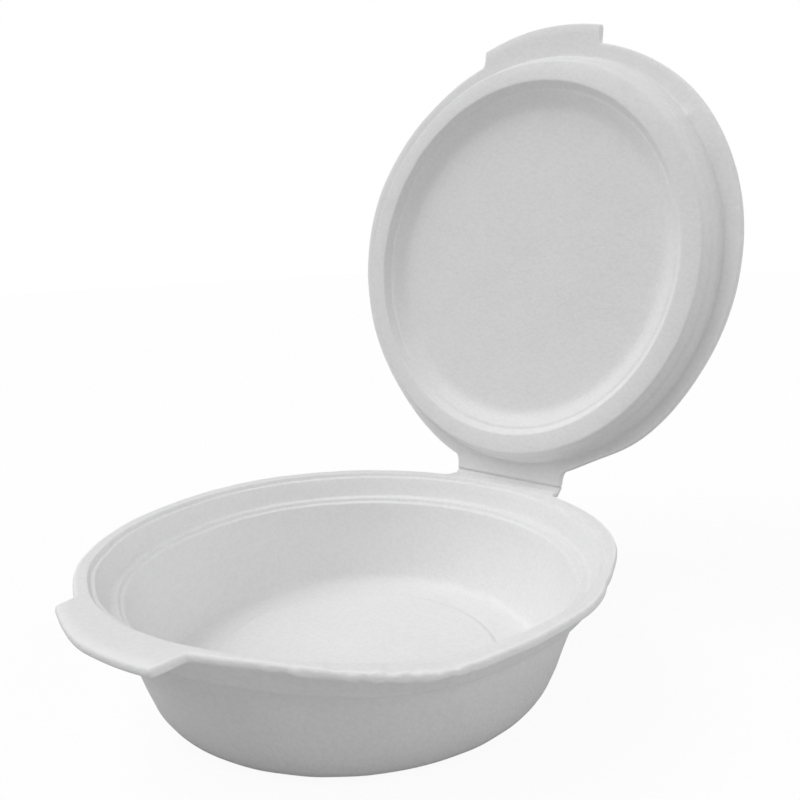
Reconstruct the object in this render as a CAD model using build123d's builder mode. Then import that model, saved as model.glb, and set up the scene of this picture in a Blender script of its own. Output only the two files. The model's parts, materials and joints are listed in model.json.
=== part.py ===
"""Hinged round foam take-away container: a bowl and a lid pressed from one sheet of foam.

Frame: millimetres, +Z up, origin at the centre of the base on the surface that it stands on.
The hinge is at the back (+Y), and the opening tabs are at the front (-Y) when the lid is closed.
The lid is drawn where it stands, swung open about the hinge.
"""
import os
from math import cos, hypot, radians, sin, sqrt, tan

from build123d import *

os.makedirs("parts", exist_ok=True)

# ---------------------------------------------------------------- driving dimensions (mm)
SHEET = 2.2             # thickness of the pressed foam
BOWL_HEIGHT = 37.4      # top face of the bowl's flange above the table
FLANGE_R = 75.3         # outer radius of both flanges
FLANGE_JOIN_R = 74.3    # the turned shell ends here, inside the flat outline of the flange
FLANGE_LAP = 0.5        # how far the two overlap
EDGE_ROUND = 0.5        # rounding of the cut edges

LIP_R = 71.2            # inner edge of the bowl's flange
LIP_LEAN = 0.5          # how much a short riser leans outwards
LIP_STEP_DEPTH = 1.3    # small step just inside the lip
SEAT_TOP_R = 70.0       # wall that guides the lid, at the step
SEAT_BOTTOM_R = 67.2    # and at the ledge
LEDGE_DEPTH = 7.5       # ledge below the flange
LEDGE_R = 64.4          # inner edge of the ledge
SHELF_DEPTH = 8.6       # narrow second shelf under the ledge
SHELF_R = 63.2
SHELF_FALL = 0.3
FLOOR_R = 55.0          # radius of the floor inside
FLOOR_DISC_R = 43.0     # raised middle of the floor
FLOOR_DISC_SLOPE = 1.5
FLOOR_DISC_RISE = 0.8

LID_WALL_TOP_R = 70.2   # lid's plug wall, at its flange
LID_RIDGE_R = 68.7      # ridge half way along the plug wall
LID_RIDGE_DEPTH = 3.6
LID_SHELF_R = 67.9      # wall just past the ridge
LID_SHELF_DEPTH = 4.4
LID_RING_R = 66.7       # flat ring that the plug ends in: outer edge, inner edge and depth
LID_RING_INNER_R = 60.1
LID_RING_DEPTH = 7.2
LID_STEP_R = 57.6       # step half way up the slope to the panel
LID_STEP_WIDTH = 0.9
LID_STEP_DEPTH = 4.6
LID_STEP_FALL = 0.2
LID_PANEL_R = 53.6      # flat middle of the lid
LID_PANEL_DEPTH = 1.2

BOWL_TAB_R = 84.0       # front of the bowl's tab, from the container's axis
BOWL_TAB_HALF = 24.5    # half of its width
BOWL_TAB_CORNER = 3.0   # rounding of its front corners
BOWL_TAB_BLEND = 3.0    # hollow rounding where it leaves the flange
LID_TAB_R = 78.0
LID_TAB_HALF = 22.8
LID_TAB_CORNER = 0.9
LID_TAB_BLEND = 0.7

HINGE_Y = 77.3          # hinge line behind the container's axis
HINGE_HALF = 21.1       # half of the hinge's length
HINGE_GAP = 0.3         # between the two flanges when the lid is closed
HINGE_SLIT = 0.1        # each flap ends this far from the hinge line
HINGE_BLEND = 4.0       # hollow rounding where a flap leaves its flange
SCORE_BACK = 1.1        # score line's distance from the hinge line
SCORE_HALF = 0.45       # half of the score's width
SCORE_DEPTH = 0.5
OPEN_DEG = 98.5         # lid's angle from closed, as the container stands

SMALL_ROUND = 0.3       # rounding of the short steps in the pressed sheet
WALL_ROUND = 0.6        # rounding where a wall meets the ring or the ledge
FLOOR_ROUND = 2.6       # rounding where the wall meets the floor
PANEL_ROUND = 4.0       # soft rounding round the lid's panel
CORNER_SHARE = 0.45     # part of a short run that its corner's rounding may take

# ---------------------------------------------------------------- frames
FLAP_END = HINGE_Y - HINGE_SLIT
HINGE_Z = BOWL_HEIGHT + HINGE_GAP / 2
OPEN = radians(OPEN_DEG)
lid_up = Vector(0, sin(OPEN), cos(OPEN))
lid_origin = Vector(
    0,
    HINGE_Y - HINGE_Y * cos(OPEN) + HINGE_GAP / 2 * sin(OPEN),
    HINGE_Z + HINGE_Y * sin(OPEN) + HINGE_GAP / 2 * cos(OPEN),
)
bowl_plan = Plane.XY.offset(BOWL_HEIGHT)
lid_plan = Plane(origin=lid_origin, x_dir=(1, 0, 0), z_dir=lid_up)


def section_plane(plan: Plane) -> Plane:
    """The plane through a plan's axis whose x runs along the radius and whose y runs up."""
    return Plane(origin=plan.origin, x_dir=plan.x_dir, z_dir=plan.x_dir.cross(plan.z_dir))


def side_plane(plan: Plane) -> Plane:
    """The plane across the hinge line, whose x runs to the back and whose y runs up."""
    return Plane(origin=plan.origin, x_dir=plan.y_dir, z_dir=plan.x_dir)


def runs_of(points: list) -> list:
    """The straight runs of an open polyline, as vectors."""
    return [Vector(*end) - Vector(*start) for start, end in zip(points, points[1:])]


def mitred(points: list, thickness: float) -> list:
    """The polyline moved to its left by a thickness, with mitred corners."""
    lefts = [Vector(-run.Y, run.X).normalized() for run in runs_of(points)]
    corners = [(a + b) / (1 + a.dot(b)) for a, b in zip(lefts, lefts[1:])]
    moves = [lefts[0], *corners, lefts[-1]]
    return [(x + thickness * move.X, y + thickness * move.Y) for (x, y), move in zip(points, moves)]


def rounded_run(points: list, radii: list) -> Wire:
    """A polyline with rounded corners, each radius held to what its two runs leave room for."""
    runs = runs_of(points)
    fitted = []
    for before, after, radius in zip(runs, runs[1:], radii):
        turn = radians(before.get_angle(after))
        room = CORNER_SHARE * min(before.length, after.length) / tan(turn / 2)
        fitted.append(min(radius, room))
    with BuildLine(mode=Mode.PRIVATE) as line:
        FilletPolyline(*points, radius=fitted)
    return line.wire()


def sheet_section(points: list, radii: list) -> Sketch:
    """The bent sheet's section: one skin along the points, the other to its left."""
    runs = runs_of(points)
    left_turns = [a.X * b.Y - a.Y * b.X > 0 for a, b in zip(runs, runs[1:])]
    back_radii = []
    for radius, left in zip(radii, left_turns):
        back_radii.append(max(radius - SHEET, SMALL_ROUND) if left else radius + SHEET)
    with BuildSketch(mode=Mode.PRIVATE) as section:
        with BuildLine():
            face = rounded_run(points, radii)
            back = rounded_run(mitred(points, SHEET), back_radii)
            add(face)
            add(back)
            Line(face @ 0, back @ 0)
            Line(face @ 1, back @ 1)
        make_face()
    return section.sketch


def flange_outline(tab_r: float, tab_half: float, tab_corner: float, tab_blend: float) -> Sketch:
    """A flange seen from above: a ring with its tab in front and its hinge flap behind."""
    with BuildSketch(mode=Mode.PRIVATE) as tab:
        Circle(tab_r)
        with Locations((0, -tab_r / 2)):
            Rectangle(2 * tab_half, tab_r, mode=Mode.INTERSECT)
        fillet(tab.vertices().group_by(Axis.Y)[0], tab_corner)
    with BuildSketch(mode=Mode.PRIVATE) as outline:
        Circle(FLANGE_R)
        add(tab.sketch)
        with Locations((0, FLAP_END / 2)):
            Rectangle(2 * HINGE_HALF, FLAP_END)
        tab_y = -sqrt(FLANGE_R**2 - tab_half**2)
        fillet(outline.vertices().filter_by_position(Axis.Y, tab_y - 0.1, tab_y + 0.1), tab_blend)
        flap_y = sqrt(FLANGE_R**2 - HINGE_HALF**2)
        fillet(outline.vertices().filter_by_position(Axis.Y, flap_y - 0.1, flap_y + 0.1), HINGE_BLEND)
        Circle(FLANGE_JOIN_R - FLANGE_LAP, mode=Mode.SUBTRACT)
    return outline.sketch


def cut_edges(edges: ShapeList, plan: Plane) -> ShapeList:
    """The edges that run round a flange's outside, without the end of its hinge flap."""
    def is_cut(edge: Edge) -> bool:
        start, middle, end = (plan.to_local_coords(edge @ place) for place in (0, 0.5, 1))
        level = abs(start.Z - end.Z) < 0.01 and hypot(middle.X, middle.Y) > FLANGE_R - 0.2
        return level and middle.Y < FLAP_END - 0.01
    return edges.filter_by(is_cut)


def score(inner_side: int) -> Sketch:
    """The V of a score line, cut into a flap from its inner face.

    inner_side is +1 where the inner face looks up, as on the bowl, and -1 on the lid.
    """
    middle = HINGE_Y - SCORE_BACK
    with BuildSketch(mode=Mode.PRIVATE) as groove:
        with BuildLine():
            Polyline(
                (middle - SCORE_HALF, inner_side * SCORE_DEPTH),
                (middle - SCORE_HALF, 0),
                (middle, -inner_side * SCORE_DEPTH),
                (middle + SCORE_HALF, 0),
                (middle + SCORE_HALF, inner_side * SCORE_DEPTH),
                close=True,
            )
        make_face()
    return groove.sketch


# ---------------------------------------------------------------- bowl
FLOOR_LEVEL = SHEET - BOWL_HEIGHT
bowl_profile = [
    (FLANGE_JOIN_R, 0),
    (LIP_R + LIP_LEAN, 0),
    (LIP_R, -LIP_STEP_DEPTH),
    (SEAT_TOP_R, -LIP_STEP_DEPTH),
    (SEAT_BOTTOM_R, -LEDGE_DEPTH),
    (LEDGE_R + LIP_LEAN, -LEDGE_DEPTH),
    (LEDGE_R, -SHELF_DEPTH),
    (SHELF_R, -SHELF_DEPTH - SHELF_FALL),
    (FLOOR_R, FLOOR_LEVEL),
    (FLOOR_DISC_R, FLOOR_LEVEL),
    (FLOOR_DISC_R - FLOOR_DISC_SLOPE, FLOOR_LEVEL + FLOOR_DISC_RISE),
    (0, FLOOR_LEVEL + FLOOR_DISC_RISE),
]
bowl_radii = [
    SMALL_ROUND, SMALL_ROUND, SMALL_ROUND, WALL_ROUND, SMALL_ROUND,
    SMALL_ROUND, WALL_ROUND, FLOOR_ROUND, WALL_ROUND, WALL_ROUND,
]

with BuildPart() as bowl:
    with BuildSketch(section_plane(bowl_plan)):
        add(sheet_section(bowl_profile, bowl_radii))
    revolve(axis=Axis(bowl_plan.origin, bowl_plan.z_dir))
    with BuildSketch(bowl_plan):
        add(flange_outline(BOWL_TAB_R, BOWL_TAB_HALF, BOWL_TAB_CORNER, BOWL_TAB_BLEND))
    extrude(amount=-SHEET)
    fillet(cut_edges(bowl.edges(), bowl_plan), EDGE_ROUND)
    with BuildSketch(side_plane(bowl_plan)):
        add(score(inner_side=1))
    extrude(amount=HINGE_HALF + 1, both=True, mode=Mode.SUBTRACT)

# ---------------------------------------------------------------- lid
lid_profile = [
    (0, -LID_PANEL_DEPTH),
    (LID_PANEL_R, -LID_PANEL_DEPTH),
    (LID_STEP_R, -LID_STEP_DEPTH),
    (LID_STEP_R + LID_STEP_WIDTH, -LID_STEP_DEPTH - LID_STEP_FALL),
    (LID_RING_INNER_R, -LID_RING_DEPTH),
    (LID_RING_R, -LID_RING_DEPTH),
    (LID_SHELF_R, -LID_SHELF_DEPTH),
    (LID_RIDGE_R, -LID_RIDGE_DEPTH),
    (LID_WALL_TOP_R, 0),
    (FLANGE_JOIN_R, 0),
]
lid_radii = [
    PANEL_ROUND, SMALL_ROUND, SMALL_ROUND, WALL_ROUND,
    WALL_ROUND, SMALL_ROUND, SMALL_ROUND, SMALL_ROUND,
]

with BuildPart() as lid:
    with BuildSketch(section_plane(lid_plan)):
        add(sheet_section(lid_profile, lid_radii))
    revolve(axis=Axis(lid_plan.origin, lid_plan.z_dir))
    with BuildSketch(lid_plan):
        add(flange_outline(LID_TAB_R, LID_TAB_HALF, LID_TAB_CORNER, LID_TAB_BLEND))
    extrude(amount=SHEET)
    fillet(cut_edges(lid.edges(), lid_plan), EDGE_ROUND)
    with BuildSketch(side_plane(lid_plan)):
        add(score(inner_side=-1))
    extrude(amount=HINGE_HALF + 1, both=True, mode=Mode.SUBTRACT)

# ---------------------------------------------------------------- files
bowl.part.label = "bowl"
export_step(bowl.part, "parts/bowl.step")
lid.part.label = "lid"
export_step(lid.part, "parts/lid.step")

if __name__ == "__main__":
    for piece in (bowl, lid):
        box = piece.part.bounding_box()
        print(piece.part.label, round(piece.part.volume), "mm3", box.min, box.max)
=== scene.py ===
"""Looks of a hinged round foam container, pressed from one sheet: bowl, living hinge and lid.

The sheet is first laid out as the press leaves it, opened flat with both inner faces up. The lid's
half is then folded up about the hinge line to where the lid stands. Sizes in the dataclasses are in
millimetres; the finished mesh is in metres in the CAD's frame, with +Z up and the hinge behind (+Y).
"""

import json
import logging
import math
from dataclasses import dataclass, field
from typing import Any, Sequence

import bmesh
import bpy
import numpy as np
from mathutils import Matrix, Vector


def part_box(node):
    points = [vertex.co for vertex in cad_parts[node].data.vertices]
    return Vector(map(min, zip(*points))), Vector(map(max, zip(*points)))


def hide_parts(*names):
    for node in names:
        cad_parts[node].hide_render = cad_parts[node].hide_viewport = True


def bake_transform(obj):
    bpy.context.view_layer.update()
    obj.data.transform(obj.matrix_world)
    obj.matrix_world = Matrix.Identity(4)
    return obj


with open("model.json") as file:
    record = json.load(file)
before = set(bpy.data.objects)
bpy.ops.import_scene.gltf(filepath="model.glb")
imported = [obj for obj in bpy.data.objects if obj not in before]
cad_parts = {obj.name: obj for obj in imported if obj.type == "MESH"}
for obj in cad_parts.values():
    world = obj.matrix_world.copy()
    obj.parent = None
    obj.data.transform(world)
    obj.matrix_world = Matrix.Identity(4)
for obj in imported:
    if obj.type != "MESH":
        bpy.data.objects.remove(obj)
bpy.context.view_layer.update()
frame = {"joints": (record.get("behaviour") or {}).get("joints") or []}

MM = 0.001
LOG = logging.getLogger("container")


# ------------------------------------------------------------------------------ small mathematics
def smooth(value: np.ndarray, low: float, high: float) -> np.ndarray:
    """Ease from 0 at low to 1 at high.

    Args:
        value: Numbers to ease.
        low: Where the result leaves 0.
        high: Where the result reaches 1; it may be below low.

    Returns:
        The eased numbers, between 0 and 1.
    """
    share = np.clip((value - low) / (high - low), 0.0, 1.0)
    return share * share * (3.0 - 2.0 * share)


def window(value: np.ndarray, low: float, high: float, edge: float) -> np.ndarray:
    """A soft plateau: 1 between low and high, falling to 0 over edge on both sides.

    Args:
        value: Numbers to test.
        low: Lower end of the plateau.
        high: Upper end of the plateau.
        edge: Width of each soft side.

    Returns:
        The plateau's height at each number.
    """
    return smooth(value, low - edge, low) * (1.0 - smooth(value, high, high + edge))


def soft_max(first: np.ndarray, second: np.ndarray, blend: float) -> np.ndarray:
    """The larger of two numbers, rounded where they cross.

    Args:
        first: One set of numbers.
        second: The other set.
        blend: Size of the rounding.

    Returns:
        The rounded maximum.
    """
    share = np.clip(0.5 + 0.5 * (first - second) / blend, 0.0, 1.0)
    return second + (first - second) * share + blend * share * (1.0 - share)


def soft_min(first: np.ndarray, second: np.ndarray, blend: float) -> np.ndarray:
    """The smaller of two numbers, rounded where they cross."""
    return -soft_max(-first, -second, blend)


class Waves:
    """Smooth random relief: a seeded sum of plane waves."""

    def __init__(self, seed: int, shortest: float, longest: float, count: int = 24) -> None:
        """Draw the waves.

        Args:
            seed: Seed of the random draws.
            shortest: Shortest wavelength, in mm.
            longest: Longest wavelength, in mm.
            count: Number of waves.
        """
        rng = np.random.default_rng(seed)
        directions = rng.normal(size=(count, 3))
        directions /= np.linalg.norm(directions, axis=1, keepdims=True)
        lengths = np.exp(rng.uniform(math.log(shortest), math.log(longest), count))
        self._waves = directions * (2.0 * math.pi / lengths)[:, None]
        self._phases = rng.uniform(0.0, 2.0 * math.pi, count)
        self._scale = math.sqrt(2.0 / count)

    def at(self, points: np.ndarray) -> np.ndarray:
        """Heights of the relief, with a spread of about 1.

        Args:
            points: Points in mm, with 3 numbers along the last axis.

        Returns:
            One height for each point.
        """
        return self._scale * np.cos(points @ self._waves.T + self._phases).sum(-1)


# ------------------------------------------------------------------------------ pressed profiles
@dataclass(frozen=True)
class Corner:
    """A corner of a pressed profile: distance from the axis, height over the flange, rounding."""

    r: float
    z: float
    rounding: float = 0.0


class Profile:
    """A pressed sheet's section: one skin as a rounded run of corners, from the axis outwards."""

    CORNER_SHARE = 0.45

    def __init__(self, corners: Sequence[Corner]) -> None:
        """Keep the corners.

        Args:
            corners: Corners from the axis outwards; the first and last aren't rounded.
        """
        self.corners = list(corners)

    def _directions(self) -> np.ndarray:
        """Unit directions of the straight runs."""
        points = np.array([(c.r, c.z) for c in self.corners])
        runs = np.diff(points, axis=0)
        return runs / np.linalg.norm(runs, axis=1, keepdims=True)

    def underside(self, thickness: float) -> "Profile":
        """The skin on the other side of the sheet.

        Args:
            thickness: Thickness of the sheet.

        Returns:
            The profile moved down by the thickness, with mitred corners.
        """
        ways = self._directions()
        downs = np.stack([ways[:, 1], -ways[:, 0]], axis=1)
        moved = []
        for index, corner in enumerate(self.corners):
            before = downs[max(index - 1, 0)]
            after = downs[min(index, len(downs) - 1)]
            shift = (before + after) / (1.0 + before @ after) * thickness
            turn = before[0] * after[1] - before[1] * after[0]
            rounding = corner.rounding + (thickness if turn > 0 else -thickness)
            moved.append(Corner(corner.r + shift[0], corner.z + shift[1], max(rounding, 0.35)))
        moved[0] = Corner(0.0, moved[0].z)
        return Profile(moved)

    def run(self, step: float, arc_parts: int) -> np.ndarray:
        """Points along the rounded skin.

        Args:
            step: Longest straight piece, in mm.
            arc_parts: Pieces in each rounding.

        Returns:
            An array of (distance from the axis, height).
        """
        points = np.array([(c.r, c.z) for c in self.corners])
        ways = self._directions()
        lengths = np.linalg.norm(np.diff(points, axis=0), axis=1)
        stops = [points[0]]
        for index in range(1, len(points) - 1):
            before, after = ways[index - 1], ways[index]
            turn = math.acos(float(np.clip(before @ after, -1.0, 1.0)))
            room = self.CORNER_SHARE * min(lengths[index - 1], lengths[index])
            cut = min(self.corners[index].rounding * math.tan(turn / 2.0), room)
            start, end = points[index] - before * cut, points[index] + after * cut
            for share in np.linspace(0.0, 1.0, arc_parts + 1):
                first = start + (points[index] - start) * share
                second = points[index] + (end - points[index]) * share
                stops.append(first + (second - first) * share)
        stops.append(points[-1])
        filled = [stops[0]]
        for start, end in zip(stops, stops[1:]):
            parts = max(1, math.ceil(float(np.linalg.norm(end - start)) / step))
            filled.extend(start + (end - start) * part / parts for part in range(1, parts + 1))
        return np.array(filled)


# ------------------------------------------------------------------------------ hinge
@dataclass(frozen=True)
class LivingHinge:
    """The pressed web between the halves: a strip of thin foam with two score lines."""

    line_y: float
    axis_z: float
    closing_angle: float
    half_width: float = 22.0
    web: float = 1.7
    steps: int = 14
    score_at: float = 0.95
    score_half: float = 0.42
    score_depth: float = 0.5
    ridge_height: float = 0.28
    web_thickness: float = 1.45

    @property
    def flap_end(self) -> float:
        """Where a half's flap ends and the web begins, from that half's axis."""
        return self.line_y - self.web

    @property
    def flap_angle(self) -> float:
        """Angle of the flap's corner, seen from the half's axis."""
        return math.atan2(self.half_width, self.flap_end)

    def fold(self, points: np.ndarray, share: np.ndarray) -> np.ndarray:
        """Fold pressed points up about the hinge line.

        Args:
            points: Points in mm, laid out flat in the CAD's frame.
            share: How much of the fold each point makes, from 0 on the bowl to 1 on the lid.

        Returns:
            The folded points.
        """
        angle = share * self.closing_angle
        y = points[..., 1] - self.line_y
        z = points[..., 2] - self.axis_z
        folded = points.copy()
        folded[..., 1] = self.line_y + y * np.cos(angle) - z * np.sin(angle)
        folded[..., 2] = self.axis_z + y * np.sin(angle) + z * np.cos(angle)
        return folded

    def rows(self) -> np.ndarray:
        """The web's rows between the two flaps.

        Returns:
            An array of (place across the hinge line, inner height, thickness) over the flange face.
        """
        place = np.linspace(-self.web, self.web, self.steps + 1)[1:-1]
        away = np.abs(np.abs(place) - self.score_at)
        groove = self.score_depth * (1.0 - smooth(away, 0.0, self.score_half))
        ridge = self.ridge_height * (1.0 - smooth(np.abs(place), 0.0, self.score_at))
        inner = ridge - groove
        return np.stack([place, inner, np.full_like(place, self.web_thickness)], axis=1)


# ------------------------------------------------------------------------------ the two halves
@dataclass(frozen=True)
class Bend:
    """A gentle local departure from a round, level rim; angles in degrees from the hinge to +X."""

    at: float
    spread: float
    out: float = 0.0
    up: float = 0.0

    def share(self, angle: np.ndarray) -> np.ndarray:
        """How much of the bend there is at each angle.

        Args:
            angle: Angles in radians.

        Returns:
            Shares, 1 at the bend's middle.
        """
        away = (np.degrees(angle) - self.at + 180.0) % 360.0 - 180.0
        return np.exp(-((away / self.spread) ** 2))


@dataclass(frozen=True)
class Spot:
    """A small raised or sunk oval: its angle in degrees, radius, sizes and height in mm."""

    at: float
    r: float
    length: float
    width: float
    height: float

    def relief(self, points: np.ndarray) -> np.ndarray:
        """Height of the oval at each point.

        Args:
            points: Points of a half's grid, in mm.

        Returns:
            Heights in mm.
        """
        angle = np.arctan2(points[..., 0], points[..., 1])
        along = (angle - math.radians(self.at)) * self.r / self.length
        across = (np.hypot(points[..., 0], points[..., 1]) - self.r) / self.width
        return self.height * np.exp(-(along**2 + across**2))


RIM_BENDS = (
    Bend(162.0, 27.0, up=2.0),
    Bend(121.0, 13.0, up=-1.0),
    Bend(-140.0, 30.0, up=0.8),
    Bend(-70.0, 40.0, up=0.75),
)


def rim_rise(angle: np.ndarray) -> np.ndarray:
    """Height that the used container's rim has taken at each angle; the closed lid follows it."""
    return sum(bend.up * bend.share(angle) for bend in RIM_BENDS)


@dataclass(frozen=True)
class Tab:
    """The opening tab at the front of a flange."""

    reach: float
    left: float
    right: float
    corner: float
    blend: float
    blend_left: float
    slant: float

    def radius(self, angle: np.ndarray) -> np.ndarray:
        """Distance from the axis to the tab's outline.

        Args:
            angle: Angle from the hinge's direction, positive towards +X.

        Returns:
            The distance in mm; 0 on the side away from the tab.
        """
        sideways = np.maximum(np.abs(np.sin(angle)), 1e-6)
        half = np.where(np.sin(angle) > 0.0, self.right, self.left)
        reach = self.reach - self.slant * smooth(-np.sin(angle), -0.05, 0.3)
        outline = soft_min(reach, half / sideways, self.corner)
        return np.where(np.cos(angle) < 0.0, outline, 0.0)

    def join(self, ring: np.ndarray, angle: np.ndarray) -> np.ndarray:
        """The flange's round outline with the tab joined on.

        Args:
            ring: Radius of the outline without the tab.
            angle: Angle from the hinge's direction.

        Returns:
            Radius of the outline with the tab.
        """
        tab = self.radius(angle)
        right = soft_max(ring, tab, self.blend)
        left = soft_max(ring, tab, self.blend_left)
        return np.where(np.sin(angle) > 0.0, right, left)


class Edge:
    """The cut edge's rounded section, as shares of its inset and of the sheet's thickness."""

    SHARES = np.array([(0.0, 0.0), (0.62, 0.07), (0.97, 0.3), (1.0, 0.68), (0.66, 0.94), (0.0, 1.0)])
    ROUND = 0.6


@dataclass
class PressedHalf:
    """One half of the sheet, seen as the press leaves it, with its inner face up."""

    hinge: LivingHinge
    thickness: float = 2.2
    ring_r: float = 75.3
    hinge_blend: float = 4.5
    flange_rows: int = 3
    step: float = 4.5
    arc_parts: int = 3
    seed: int = 1
    bends: tuple[Bend, ...] = ()
    tab: Tab = field(default_factory=lambda: Tab(81.0, 23.8, 22.2, 1.2, 1.0, 3.0, 0.6))

    def profile(self) -> Profile:
        """The inner skin's section, from the axis to the flange's inner edge."""
        raise NotImplementedError

    def ring(self, angle: np.ndarray) -> np.ndarray:
        """Radius of the flange's round outline at each angle."""
        return self.ring_r + sum(bend.out * bend.share(angle) for bend in self.bends)

    def outline(self, angle: np.ndarray) -> np.ndarray:
        """The flange's outline seen from above.

        Args:
            angle: Angles from the hinge's direction, rising, positive towards +X.

        Returns:
            Points (x, distance towards the hinge) of the outline.
        """
        ring = self.ring(angle)
        aside = np.abs(angle)
        side = self.hinge.half_width / np.maximum(np.sin(aside), 1e-6)
        flap = np.where(aside < math.pi / 2.0, side, 0.0)
        around = soft_max(ring, flap, self.hinge_blend)
        around = self.tab.join(around, angle)
        end = self.hinge.flap_end / np.maximum(np.cos(angle), 1e-6)
        on_flap = aside <= self.hinge.flap_angle + 1e-9
        radius = np.where(on_flap, end, around)
        return np.stack([radius * np.sin(angle), radius * np.cos(angle)], axis=1)

    def edge_normals(self, outline: np.ndarray, on_flap: np.ndarray) -> np.ndarray:
        """Unit vectors out of the outline, square to the sides at the flap's end.

        Args:
            outline: The outline's points.
            on_flap: Which of them are on the flap's end.

        Returns:
            One unit vector for each point.
        """
        along = np.roll(outline, -1, axis=0) - np.roll(outline, 1, axis=0)
        normals = np.stack([-along[:, 1], along[:, 0]], axis=1)
        normals /= np.linalg.norm(normals, axis=1, keepdims=True)
        normals *= np.sign((normals * outline).sum(1))[:, None]
        normals[on_flap] = 0.0
        ends = np.flatnonzero(on_flap)[[0, -1]]
        normals[ends, 0] = np.sign(outline[ends, 0])
        return normals

    def grid(self, angle: np.ndarray) -> tuple[np.ndarray, int]:
        """Lay out the half as rings of points, from the inner skin's middle round to the underside's.

        Args:
            angle: The columns' angles.

        Returns:
            An array (rows, columns, 3) of points in mm about the half's own axis, whose second
            number grows towards the hinge, and the row where the cut edge starts.
        """
        inner = self.profile().run(self.step, self.arc_parts)
        under = self.profile().underside(self.thickness).run(self.step * 1.3, self.arc_parts)
        outline = self.outline(angle)
        on_flap = np.abs(angle) <= self.hinge.flap_angle + 1e-9
        normals = self.edge_normals(outline, on_flap)
        inset = outline - normals * Edge.ROUND
        flap_width = np.abs(inset[on_flap][0, 0]) / np.abs(outline[on_flap][0, 0])
        inset[on_flap, 0] = outline[on_flap, 0] * flap_width
        ways = np.stack([np.sin(angle), np.cos(angle)], axis=1)
        rows = [self._level(ways * r, z) for r, z in inner[1:]]
        rows += self._flange(ways * inner[-1, 0], inset, 0.0)
        edge_row = len(rows) - 1
        for out, down in Edge.SHARES[1:]:
            place = inset + normals * Edge.ROUND * out
            rows.append(self._level(place, -self.thickness * down))
        rows += self._flange(ways * under[-1, 0], inset, -self.thickness)[-2::-1]
        rows += [self._level(ways * r, z) for r, z in under[:0:-1]]
        return np.stack(rows), edge_row

    def _level(self, plan: np.ndarray, height: float) -> np.ndarray:
        """Points of one ring at one height."""
        return np.column_stack([plan, np.full(len(plan), height)])

    def _flange(self, start: np.ndarray, end: np.ndarray, height: float) -> list[np.ndarray]:
        """The flange's rings between the profile's end and the cut edge."""
        shares = np.arange(1, self.flange_rows + 1) / self.flange_rows
        return [self._level(start + (end - start) * share, height) for share in shares]

    def relief(self, points: np.ndarray) -> np.ndarray:
        """What wear and the press's play do to the points.

        Args:
            points: Points of the grid, in mm.

        Returns:
            A shift for each point, in mm.
        """
        raise NotImplementedError

    def freedom(self, points: np.ndarray) -> np.ndarray:
        """How free each point is to move: 0 at the hinge, where both halves must meet."""
        from_hinge = self.hinge.flap_end - points[..., 1]
        return smooth(from_hinge, 0.0, 7.0)

    def pressed(self, angle: np.ndarray) -> tuple[np.ndarray, int]:
        """The half's grid with its relief, about its own axis.

        Args:
            angle: The columns' angles.

        Returns:
            The grid, and the row where the cut edge starts.
        """
        points, edge_row = self.grid(angle)
        free = self.freedom(points)[..., None]
        return points + self.relief(points) * free, edge_row


@dataclass
class Bowl(PressedHalf):
    """The bowl: floor, sloping wall, ledge, seat for the lid, flange and front tab."""

    height: float = 37.4
    tab: Tab = field(default_factory=lambda: Tab(82.6, 24.8, 23.6, 3.0, 1.8, 6.5, 2.4))
    bends: tuple[Bend, ...] = (
        Bend(152.0, 11.0, out=-1.5),
        Bend(121.0, 13.0, out=1.7),
        Bend(69.0, 13.0, out=-1.5),
        Bend(75.0, 2.6, out=-0.5),
        Bend(-70.0, 40.0, out=0.9),
    )
    snap: Spot = Spot(-56.0, 68.6, 7.0, 1.7, 0.55)
    lean: tuple[float, float] = (-0.4, -0.35)
    belly: float = 0.7
    fray_low: float = math.radians(117.0)
    fray_high: float = math.radians(146.0)
    fray: float = 0.2
    seed: int = 11

    def profile(self) -> Profile:
        """The bowl's inner skin."""
        floor = self.thickness - self.height
        return Profile([
            Corner(0.0, floor + 0.8),
            Corner(41.5, floor + 0.8, 2.5),
            Corner(43.0, floor, 2.5),
            Corner(55.0, floor, 3.2),
            Corner(63.2, -8.9, 0.9),
            Corner(64.4, -8.6, 0.6),
            Corner(64.9, -7.5, 0.6),
            Corner(67.2, -7.5, 1.0),
            Corner(70.0, -1.3, 0.7),
            Corner(71.2, -1.3, 0.6),
            Corner(71.7, 0.0, 0.8),
            Corner(72.4, 0.0),
        ])

    def relief(self, points: np.ndarray) -> np.ndarray:
        """Rise and sag of the rim, snap bump, frayed near edge, and unevenness all over."""
        x, y, z = points[..., 0], points[..., 1], points[..., 2]
        radius = np.hypot(x, y)
        angle = np.arctan2(x, y)
        shift = np.zeros_like(points)
        shift[..., 2] += smooth(z, -26.0, -1.0) * rim_rise(angle)
        shift[..., 2] += 0.05 * Waves(self.seed, 9.0, 40.0).at(points)
        frayed = smooth(radius, 72.5, 74.5) * window(angle, self.fray_low, self.fray_high, 0.1)
        shift[..., 2] += self.fray * frayed * Waves(self.seed + 2, 2.4, 5.0).at(points)
        ways = points[..., :2] / np.maximum(radius, 1.0)[..., None]
        wall = smooth(z, -33.0, -28.0)
        play = 0.12 * wall * Waves(self.seed + 1, 15.0, 60.0).at(points)
        play += self.belly * window(z, -29.0, -15.0, 8.0)
        play -= self.snap.relief(points) * window(z, -7.4, -0.5, 1.0)
        shift[..., :2] += ways * play[..., None]
        shift[..., :2] += smooth(z, -8.0, -30.0)[..., None] * np.array(self.lean)
        return shift


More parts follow.
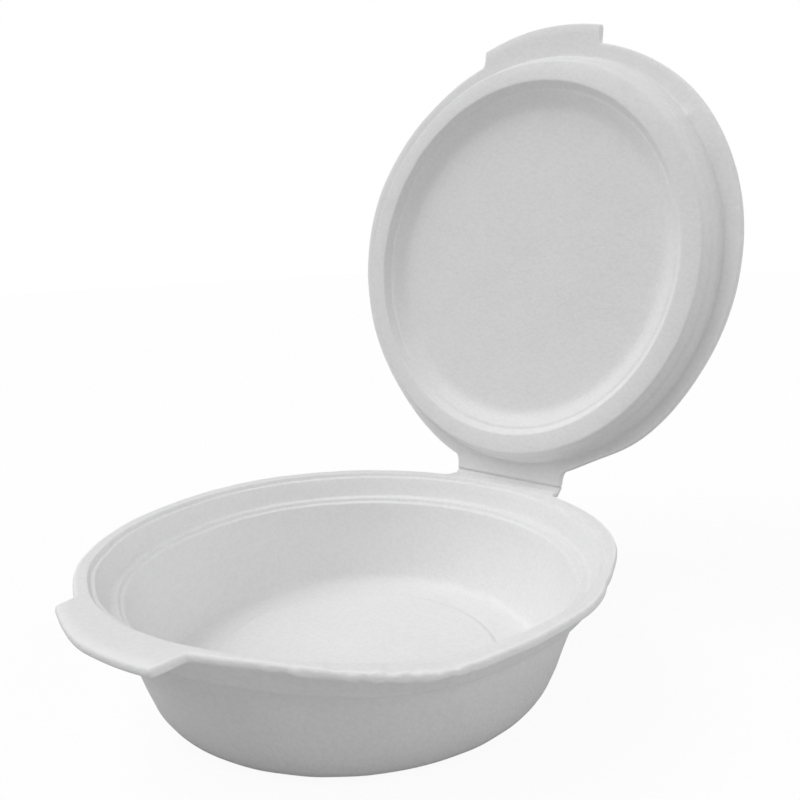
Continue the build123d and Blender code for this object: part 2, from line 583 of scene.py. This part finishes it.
@dataclass
class Lid(PressedHalf):
    """The lid: flat panel, raised ring that plugs the bowl, ridged plug wall, flange and tab."""

    bends: tuple[Bend, ...] = (
        Bend(27.0, 10.0, out=-1.6),
        Bend(62.0, 22.0, out=-1.0),
        Bend(125.0, 25.0, out=0.9),
        Bend(-44.0, 22.0, out=-2.0),
        Bend(-110.0, 30.0, out=2.5),
    )
    follow: float = 0.9
    nub: Spot = Spot(128.0, 69.6, 1.9, 1.5, 0.9)
    seed: int = 23

    def profile(self) -> Profile:
        """The lid's inner skin; it rises from the flange, because the plug stands into the bowl."""
        return Profile([
            Corner(0.0, 1.2),
            Corner(53.2, 1.2, 6.0),
            Corner(57.4, 4.6, 0.7),
            Corner(58.4, 4.9, 0.7),
            Corner(60.1, 7.2, 1.0),
            Corner(66.7, 7.2, 1.1),
            Corner(67.9, 4.4, 0.7),
            Corner(68.7, 3.6, 0.7),
            Corner(70.2, 0.0, 0.9),
            Corner(71.2, 0.0),
        ])

    def relief(self, points: np.ndarray) -> np.ndarray:
        """The bowl rim's rise, a slight bow of the panel, a nub and unevenness all over."""
        x, y = points[..., 0], points[..., 1]
        radius = np.hypot(x, y)
        shift = np.zeros_like(points)
        rim = smooth(radius, 58.0, 71.0)
        shift[..., 2] -= self.follow * rim * rim_rise(np.arctan2(x, y))
        shift[..., 2] += self.nub.relief(points) * smooth(points[..., 2], -1.0, 0.0)
        shift[..., 2] += 0.3 * (1.0 - smooth(radius, 0.0, 52.0))
        shift[..., 2] += 0.06 * Waves(self.seed, 9.0, 40.0).at(points)
        return shift


# ------------------------------------------------------------------------------ shader wrapper
class Wire:
    """A node's output, on which Python's operators add the matching Math nodes."""

    def __init__(self, graph: "Graph", socket: bpy.types.NodeSocket) -> None:
        """Keep the graph and the socket."""
        self.graph = graph
        self.socket = socket

    def _math(self, operation: str, *values: "Wire | float") -> "Wire":
        """Add one Math node.

        Args:
            operation: The node's operation.
            *values: Its inputs in order.

        Returns:
            The node's result.
        """
        return self.graph.add("ShaderNodeMath", {"operation": operation}, dict(enumerate(values)))

    def __add__(self, other: "Wire | float") -> "Wire":
        """self + other."""
        return self._math("ADD", self, other)

    def __radd__(self, other: float) -> "Wire":
        """other + self."""
        return self._math("ADD", other, self)

    def __sub__(self, other: "Wire | float") -> "Wire":
        """self - other."""
        return self._math("SUBTRACT", self, other)

    def __rsub__(self, other: float) -> "Wire":
        """other - self."""
        return self._math("SUBTRACT", other, self)

    def __mul__(self, other: "Wire | float") -> "Wire":
        """self * other."""
        return self._math("MULTIPLY", self, other)

    def __rmul__(self, other: float) -> "Wire":
        """other * self."""
        return self._math("MULTIPLY", other, self)

    def clamped(self) -> "Wire":
        """The value held between 0 and 1."""
        return self.graph.add("ShaderNodeClamp", {}, {"Value": self})

    def eased(self, low: float, high: float) -> "Wire":
        """Ease from 0 at low to 1 at high.

        Args:
            low: Value that gives 0.
            high: Value that gives 1.

        Returns:
            The eased value.
        """
        settings = {"interpolation_type": "SMOOTHSTEP"}
        sockets = {"Value": self, "From Min": low, "From Max": high}
        return self.graph.add("ShaderNodeMapRange", settings, sockets)


class Graph:
    """A material's or world's node tree."""

    def __init__(self, tree: bpy.types.NodeTree) -> None:
        """Empty the tree and keep it."""
        self.tree = tree
        tree.nodes.clear()

    def add(
        self,
        kind: str,
        settings: dict[str, Any] | None = None,
        sockets: dict[str | int, Any] | None = None,
        output: str | int = 0,
    ) -> Wire:
        """Add one node.

        Args:
            kind: The node's type.
            settings: Its settings, set first.
            sockets: Values or wires for its inputs, by name or number.
            output: The output to return.

        Returns:
            The wire from that output.
        """
        node = self.tree.nodes.new(kind)
        for name, value in (settings or {}).items():
            setattr(node, name, value)
        for name, value in (sockets or {}).items():
            if isinstance(value, Wire):
                self.tree.links.new(value.socket, node.inputs[name])
            else:
                node.inputs[name].default_value = value
        return Wire(self, node.outputs[output] if node.outputs else None)

    def mix_colour(self, share: Wire | float, first: Any, second: Any) -> Wire:
        """Mix two colours.

        Args:
            share: Share of the second colour.
            first: First colour.
            second: Second colour.

        Returns:
            The mixed colour.
        """
        sockets = {0: share, 6: first, 7: second}
        return self.add("ShaderNodeMix", {"data_type": "RGBA"}, sockets, output=2)


# ------------------------------------------------------------------------------ finishes
@dataclass(frozen=True)
class FoamFinish:
    """White pressed polystyrene foam: flattened beads, a fine grain and a soft dull gloss."""

    name: str = "foam"
    colour: tuple[float, float, float] = (0.86, 0.86, 0.86)
    seam_colour: tuple[float, float, float] = (0.79, 0.79, 0.79)
    edge_colour: tuple[float, float, float] = (0.90, 0.90, 0.90)
    bead: float = 1.25
    grain: float = 0.42
    cloud: float = 22.0
    smooth_roughness: float = 0.46
    rough_roughness: float = 0.62

    def material(self) -> bpy.types.Material:
        """Make the material.

        Returns:
            The finished material.
        """
        material = bpy.data.materials.new(self.name)
        material.use_nodes = True
        graph = Graph(material.node_tree)
        place = graph.add("ShaderNodeAttribute", {"attribute_name": "pressed"}, output="Vector")
        edge = graph.add("ShaderNodeAttribute", {"attribute_name": "cut_edge"}, output="Fac")
        beads = graph.add(
            "ShaderNodeTexVoronoi",
            {"feature": "SMOOTH_F1"},
            {"Vector": place, "Scale": 1.0 / (self.bead * MM), "Smoothness": 0.35},
        )
        bead_tint = graph.add(
            "ShaderNodeTexVoronoi",
            {"feature": "F1"},
            {"Vector": place, "Scale": 1.0 / (self.bead * MM)},
            output="Color",
        )
        grain = graph.add(
            "ShaderNodeTexNoise",
            {},
            {"Vector": place, "Scale": 1.0 / (self.grain * MM), "Detail": 3.0, "Roughness": 0.6},
        )
        cloud = graph.add(
            "ShaderNodeTexNoise",
            {},
            {"Vector": place, "Scale": 1.0 / (self.cloud * MM), "Detail": 2.0},
        )
        tint = graph.add("ShaderNodeSeparateColor", {}, {"Color": bead_tint})
        seam = beads.eased(0.35, 0.75)
        shade = (seam * 0.35 + tint * 0.25 + cloud * 0.4 + grain * 0.3) * 0.8
        skin = graph.mix_colour(shade.clamped(), (*self.colour, 1.0), (*self.seam_colour, 1.0))
        colour = graph.mix_colour(edge * 0.6, skin, (*self.edge_colour, 1.0))
        spread = self.rough_roughness - self.smooth_roughness
        roughness = self.smooth_roughness + (grain * 0.6 + seam * 0.4) * spread
        relief = (1.0 - beads * beads) * (0.35 + edge * 0.3) + grain * 0.55
        bump = graph.add(
            "ShaderNodeBump",
            {},
            {"Height": relief, "Strength": 0.8, "Distance": 0.2 * MM},
        )
        shader = graph.add(
            "ShaderNodeBsdfPrincipled",
            {},
            {
                "Base Color": colour,
                "Roughness": roughness + edge * 0.2,
                "Normal": bump,
                "IOR": 1.45,
                "Specular IOR Level": 0.42,
            },
        )
        graph.add("ShaderNodeOutputMaterial", {}, {"Surface": shader})
        return material


# ------------------------------------------------------------------------------ the whole sheet
class FoamContainer:
    """The whole pressed sheet as one closed mesh: bowl, web and lid."""

    BLEND_TILT = math.radians(35.0)
    BLEND_REACH = 1.4
    ARCS = ((0.0, 1.3), (15.7, 0.45), (22.0, 1.05), (136.0, 0.42), (166.0, 0.9), (180.0, 0.9))

    def __init__(self, joint: dict[str, Any], box: tuple[Vector, Vector], finish: FoamFinish) -> None:
        """Take the hinge's place from the frame.

        Args:
            joint: The lid's joint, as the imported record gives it.
            box: The bowl's CAD box in metres.
            finish: The foam's finish.
        """
        _, line_y, axis_z = (number / MM for number in joint["pos_m"])
        closing = math.radians(joint["range_deg"][1])
        self.hinge = LivingHinge(line_y=line_y, axis_z=axis_z, closing_angle=closing)
        height = box[1].z / MM
        self.bowl = Bowl(hinge=self.hinge, height=height)
        self.lid = Lid(hinge=self.hinge)
        self.flange_z = height
        self.finish = finish

    def angles(self) -> np.ndarray:
        """The columns' angles: finer at the flap's and the tab's corners and along the worn rim."""
        limits = [(math.radians(at), math.radians(step)) for at, step in self.ARCS]
        limits[1] = (self.hinge.flap_angle, limits[1][1])
        half = [0.0]
        for (start, step), (end, _) in zip(limits, limits[1:]):
            parts = max(1, round((end - start) / step))
            half.extend(start + (end - start) * part / parts for part in range(1, parts + 1))
        right = np.array(half)
        return np.concatenate([-right[:0:-1], right])[1:]

    def _to_flat(self, points: np.ndarray, is_lid: bool) -> np.ndarray:
        """Place a half's points in the CAD's frame, opened flat."""
        flat = points.copy()
        if is_lid:
            flat[..., 1] = 2.0 * self.hinge.line_y - points[..., 1]
        flat[..., 2] += self.flange_z
        return flat

    def _web(self, columns: np.ndarray, side_x: np.ndarray) -> np.ndarray:
        """The web's loops of points, opened flat.

        Args:
            columns: The flap columns' x.
            side_x: The cut edge's x at one end of the flap, for each point of its section.

        Returns:
            An array (rows, points in a loop, 3).
        """
        loops = []
        for place, inner, thickness in self.hinge.rows():
            y = self.hinge.line_y + place
            bottom = inner - thickness
            top = [(x, y, inner) for x in columns]
            base = [(x, y, bottom) for x in columns[::-1]]
            section = [
                (x, inner - thickness * down)
                for x, (_, down) in zip(side_x[1:-1], Edge.SHARES[1:-1])
            ]
            right = [(x, y, z) for x, z in section]
            left = [(-x, y, z) for x, z in reversed(section)]
            loops.append(top + right + base + left)
        web = np.array(loops)
        web[..., 2] += self.flange_z
        return web

    def build(self) -> bpy.types.Object:
        """Build the sheet's mesh and dress it.

        Returns:
            The finished object.
        """
        angle = self.angles()
        on_flap = np.flatnonzero(np.abs(angle) <= self.hinge.flap_angle + 1e-9)
        bowl, bowl_edge = self.bowl.pressed(angle)
        lid, lid_edge = self.lid.pressed(angle)
        flats = [self._to_flat(bowl, False), self._to_flat(lid, True)]
        columns = bowl[bowl_edge, on_flap, 0]
        edge_rows = bowl_edge + np.arange(len(Edge.SHARES))
        side_x = bowl[edge_rows, on_flap[-1], 0]
        web = self._web(columns, side_x)
        centres = [self._middles(flat) for flat in flats]
        shares = self._web_shares(web)

        pressed, folded, edge_mark, faces = [], [], [], []
        starts = []
        for number, (flat, middle) in enumerate(zip(flats, centres)):
            starts.append(sum(len(block) for block in pressed))
            block = np.concatenate([flat.reshape(-1, 3), middle])
            pressed.append(block)
            folded.append(self.hinge.fold(block, np.full(len(block), float(number))))
            edge = bowl_edge if number == 0 else lid_edge
            edge_mark.append(self._edge_marks(flat, edge))
            faces += self._half_faces(flat.shape[:2], edge, on_flap, starts[-1])
        web_start = sum(len(block) for block in pressed)
        pressed.append(web.reshape(-1, 3))
        folded.append(self.hinge.fold(web, shares).reshape(-1, 3))
        edge_mark.append(np.zeros(web.shape[0] * web.shape[1]))
        loops = [self._flap_loop(len(angle), bowl_edge, on_flap, starts[0])]
        loops += [web_start + np.arange(web.shape[1]) + row * web.shape[1] for row in range(len(web))]
        loops.append(self._flap_loop(len(angle), lid_edge, on_flap, starts[1]))
        for before, after in zip(loops, loops[1:]):
            faces += self._ring_faces(before, after)
        return self._object(
            np.concatenate(pressed), np.concatenate(folded), np.concatenate(edge_mark), faces
        )

    @staticmethod
    def _middles(flat: np.ndarray) -> np.ndarray:
        """The two points on a half's axis: on the inner skin and on the underside."""
        return np.stack([flat[0].mean(0), flat[-1].mean(0)])

    def _web_shares(self, web: np.ndarray) -> np.ndarray:
        """How much of the fold each point of the web makes."""
        place = web[..., 1] - self.hinge.line_y
        return smooth(place, -self.hinge.web, self.hinge.web)

    @staticmethod
    def _edge_marks(flat: np.ndarray, edge_row: int) -> np.ndarray:
        """Mark the cut edge with 1 and the skins with 0."""
        marks = np.zeros(flat.shape[:2])
        last = edge_row + len(Edge.SHARES) - 1
        marks[edge_row:last + 1] = 1.0
        return np.concatenate([marks.ravel(), np.zeros(2)])

    @staticmethod
    def _half_faces(
        shape: tuple[int, int], edge_row: int, on_flap: np.ndarray, start: int
    ) -> list[tuple[int, ...]]:
        """Faces of one half, left open at the flap's end.

        Args:
            shape: Rows and columns of the half's grid.
            edge_row: The row where the cut edge starts.
            on_flap: The flap's columns.
            start: Number of the half's first point.

        Returns:
            The faces, as point numbers.
        """
        rows, columns = shape
        opening = range(edge_row, edge_row + len(Edge.SHARES) - 1)
        flap = set(on_flap[:-1].tolist())
        faces: list[tuple[int, ...]] = []
        for row in range(rows - 1):
            for column in range(columns):
                if row in opening and column in flap:
                    continue
                after = (column + 1) % columns
                here = start + row * columns
                there = here + columns
                faces.append((here + column, here + after, there + after, there + column))
        top, bottom = start + rows * columns, start + rows * columns + 1
        last = start + (rows - 1) * columns
        for column in range(columns):
            after = (column + 1) % columns
            faces.append((start + after, start + column, top))
            faces.append((last + column, last + after, bottom))
        return faces

    @staticmethod
    def _flap_loop(columns: int, edge_row: int, on_flap: np.ndarray, start: int) -> np.ndarray:
        """Point numbers round the flap's end, in the order of the web's loops."""
        last = edge_row + len(Edge.SHARES) - 1
        between = np.arange(edge_row + 1, last)
        top = start + edge_row * columns + on_flap
        right = start + between * columns + on_flap[-1]
        base = start + last * columns + on_flap[::-1]
        left = start + between[::-1] * columns + on_flap[0]
        return np.concatenate([top, right, base, left])

    @staticmethod
    def _ring_faces(before: np.ndarray, after: np.ndarray) -> list[tuple[int, ...]]:
        """Faces between two loops of the same length."""
        following = np.roll(before, -1), np.roll(after, -1)
        quads = np.stack([before, following[0], following[1], after], axis=1)
        return [tuple(int(number) for number in quad) for quad in quads]

    def _object(
        self,
        pressed: np.ndarray,
        folded: np.ndarray,
        edge_mark: np.ndarray,
        faces: list[tuple[int, ...]],
    ) -> bpy.types.Object:
        """Make the mesh object from its points and faces.

        Args:
            pressed: The points opened flat, in mm.
            folded: The points where they stand, in mm.
            edge_mark: How much each point belongs to the cut edge.
            faces: The faces, as point numbers.

        Returns:
            The object, dressed.
        """
        mesh = bpy.data.meshes.new("foam_container")
        mesh.from_pydata((folded * MM).tolist(), [], faces)
        place = mesh.attributes.new("pressed", "FLOAT_VECTOR", "POINT")
        place.data.foreach_set("vector", (pressed * MM).astype(np.float32).ravel())
        edge = mesh.attributes.new("cut_edge", "FLOAT", "POINT")
        edge.data.foreach_set("value", edge_mark.astype(np.float32))
        work = bmesh.new()
        work.from_mesh(mesh)
        loose = [vertex for vertex in work.verts if not vertex.link_faces]
        bmesh.ops.delete(work, geom=loose, context="VERTS")
        bmesh.ops.recalc_face_normals(work, faces=work.faces)
        open_edges = sum(1 for line in work.edges if len(line.link_faces) != 2)
        for side in work.faces:
            side.smooth = True
        work.to_mesh(mesh)
        work.free()
        mesh.materials.append(self.finish.material())
        sheet = bpy.data.objects.new("foam_container", mesh)
        bpy.context.scene.collection.objects.link(sheet)
        LOG.info("foam_container: %d faces, %d open edges", len(mesh.polygons), open_edges)
        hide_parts("bowl", "lid")
        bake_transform(sheet)
        return sheet


# ------------------------------------------------------------------------------ studio
@dataclass(frozen=True)
class BroadLamp:
    """A far, very soft lamp, by the direction that its light comes from."""

    name: str
    towards: tuple[float, float, float]
    strength: float
    spread: float


@dataclass(frozen=True)
class Camera:
    """The camera, by where it stands and how it is turned."""

    place: tuple[float, float, float] = (0.16275, -0.15508, 0.11995)
    azimuth: float = math.radians(42.47)
    elevation: float = math.radians(10.47)
    roll: float = math.radians(-1.87)
    lens: float = 36.6

    def build(self) -> bpy.types.Object:
        """Make the camera the scene's own.

        Returns:
            The camera.
        """
        back = Vector((
            math.sin(self.azimuth) * math.cos(self.elevation),
            -math.cos(self.azimuth) * math.cos(self.elevation),
            math.sin(self.elevation),
        ))
        level = Vector((math.cos(self.azimuth), math.sin(self.azimuth), 0.0))
        upright = back.cross(level)
        right = level * math.cos(self.roll) + upright * math.sin(self.roll)
        up = upright * math.cos(self.roll) - level * math.sin(self.roll)
        data = bpy.data.cameras.new("camera")
        data.lens = self.lens
        data.sensor_width = 36.0
        data.clip_start = 0.01
        camera = bpy.data.objects.new("camera", data)
        turn = Matrix((right, up, back)).transposed().to_4x4()
        camera.matrix_world = Matrix.Translation(Vector(self.place)) @ turn
        bpy.context.scene.collection.objects.link(camera)
        bpy.context.scene.camera = camera
        return camera


@dataclass
class Studio:
    """A white table under a pale sky, with soft lamps."""

    floor_half: float = 3.0
    seen_colour: float = 0.95
    bounce_colour: float = 0.55
    floor_glow: float = 0.93
    sky: float = 0.31
    lamps: tuple[BroadLamp, ...] = (
        BroadLamp("key_lamp", (-0.45, -0.42, 0.85), 1.85, math.radians(55.0)),
        BroadLamp("fill_lamp", (0.90, 0.25, 0.40), 0.95, math.radians(60.0)),
    )

    def build(self) -> None:
        """Build floor, sky, lamps and camera."""
        self._floor()
        self._sky()
        for lamp in self.lamps:
            self._lamp(lamp)
        Camera().build()
        bpy.context.scene.view_settings.view_transform = "Standard"

    def _floor(self) -> None:
        """Lay the table top, which looks white to the camera but keeps its shadows."""
        half = self.floor_half
        corners = [(-half, -half, 0.0), (half, -half, 0.0), (half, half, 0.0), (-half, half, 0.0)]
        mesh = bpy.data.meshes.new("floor")
        mesh.from_pydata(corners, [], [(0, 1, 2, 3)])
        material = bpy.data.materials.new("floor")
        material.use_nodes = True
        graph = Graph(material.node_tree)
        matt = graph.add("ShaderNodeBsdfDiffuse", {}, {"Color": (self.seen_colour,) * 3 + (1.0,)})
        dull = graph.add("ShaderNodeBsdfDiffuse", {}, {"Color": (self.bounce_colour,) * 3 + (1.0,)})
        glow = graph.add("ShaderNodeEmission", {}, {"Color": (1.0, 1.0, 1.0, 1.0), "Strength": 1.0})
        seen = graph.add("ShaderNodeMixShader", {}, {0: self.floor_glow, 1: matt, 2: glow})
        is_camera = graph.add("ShaderNodeLightPath", {}, {}, output="Is Camera Ray")
        both = graph.add("ShaderNodeMixShader", {}, {0: is_camera, 1: dull, 2: seen})
        graph.add("ShaderNodeOutputMaterial", {}, {"Surface": both})
        mesh.materials.append(material)
        floor = bpy.data.objects.new("floor", mesh)
        bpy.context.scene.collection.objects.link(floor)

    def _sky(self) -> None:
        """Light the scene from all round, with white behind it for the camera."""
        world = bpy.data.worlds.new("sky")
        world.use_nodes = True
        graph = Graph(world.node_tree)
        is_camera = graph.add("ShaderNodeLightPath", {}, {}, output="Is Camera Ray")
        strength = is_camera * (1.0 - self.sky) + self.sky
        sky = graph.add(
            "ShaderNodeBackground", {}, {"Color": (1.0, 1.0, 1.0, 1.0), "Strength": strength}
        )
        graph.add("ShaderNodeOutputWorld", {}, {"Surface": sky})
        bpy.context.scene.world = world

    @staticmethod
    def _lamp(lamp: BroadLamp) -> None:
        """Hang one soft lamp.

        Args:
            lamp: The lamp.
        """
        data = bpy.data.lights.new(lamp.name, "SUN")
        data.angle = lamp.spread
        data.energy = lamp.strength
        lamp_object = bpy.data.objects.new(lamp.name, data)
        turn = Vector(lamp.towards).to_track_quat("Z", "Y").to_matrix().to_4x4()
        lamp_object.matrix_world = turn
        bpy.context.scene.collection.objects.link(lamp_object)


def main() -> None:
    """Build the container and its studio, and report each piece."""
    logging.basicConfig(level=logging.INFO)
    container = FoamContainer(frame["joints"][0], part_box("bowl"), FoamFinish())
    sheet = container.build()
    LOG.info("%s rides from the bowl to the lid", sheet.name)
    Studio().build()
    LOG.info("studio built")


if __name__ == "__main__":
    main()
